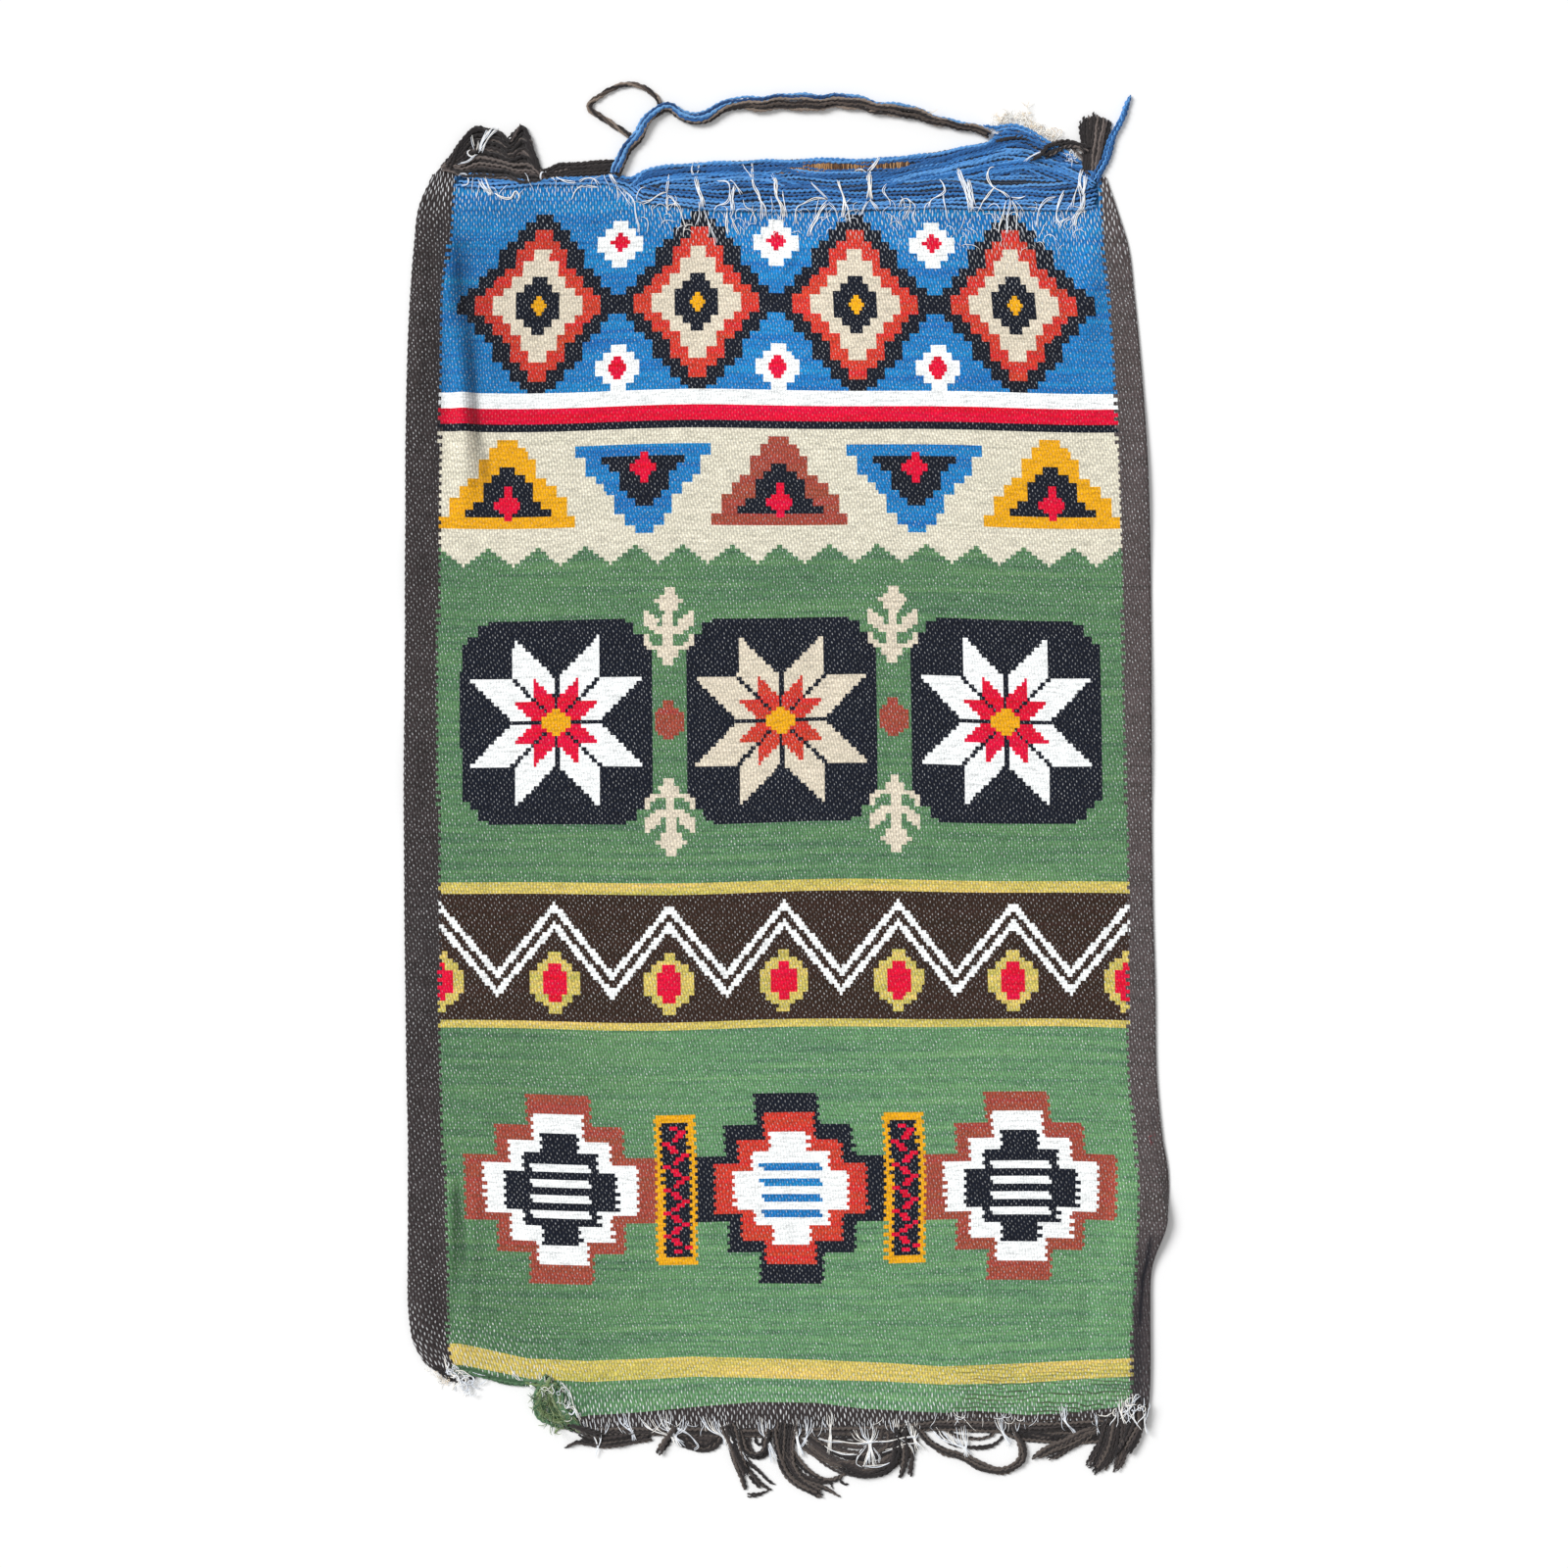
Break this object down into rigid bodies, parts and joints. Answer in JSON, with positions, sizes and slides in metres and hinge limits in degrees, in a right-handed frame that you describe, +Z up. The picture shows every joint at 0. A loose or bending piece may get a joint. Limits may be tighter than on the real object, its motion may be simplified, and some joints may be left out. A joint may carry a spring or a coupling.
{
  "type": "tapestry",
  "caption": "Small hand-woven wool tapestry lying flat, face up, with dark woven side borders, one border folded under and loose unravelling yarns at both raw ends.",
  "frame": {"origin": "middle of the tapestry without its free yarns, on the surface that it lies on", "axes": "+X to the right across the face, +Y along the length towards the top end, +Z up out of the face"},
  "size_m": [0.6248, 1.1566, 0.0113],
  "materials": {
    "woven_wool": "matt weft-faced wool tapestry weave with pale warp flecks, many colours on a green ground",
    "brown_yarn": "matt dark brown two-ply wool yarn",
    "blue_yarn": "matt blue two-ply wool yarn",
    "green_yarn": "matt green two-ply wool yarn, frayed",
    "warp_cotton": "pale twisted cotton warp threads, frayed"
  },
  "bodies": {
    "root": {"cloth": "woven_wool", "top_left_fringe": "brown_yarn", "top_fringe": "blue_yarn", "top_right_tuft": "brown_yarn", "bottom_fringe": "brown_yarn", "green_fray": "green_yarn", "loose_yarn": "blue_yarn", "loose_loop": "brown_yarn"}
  },
  "joints": []
}
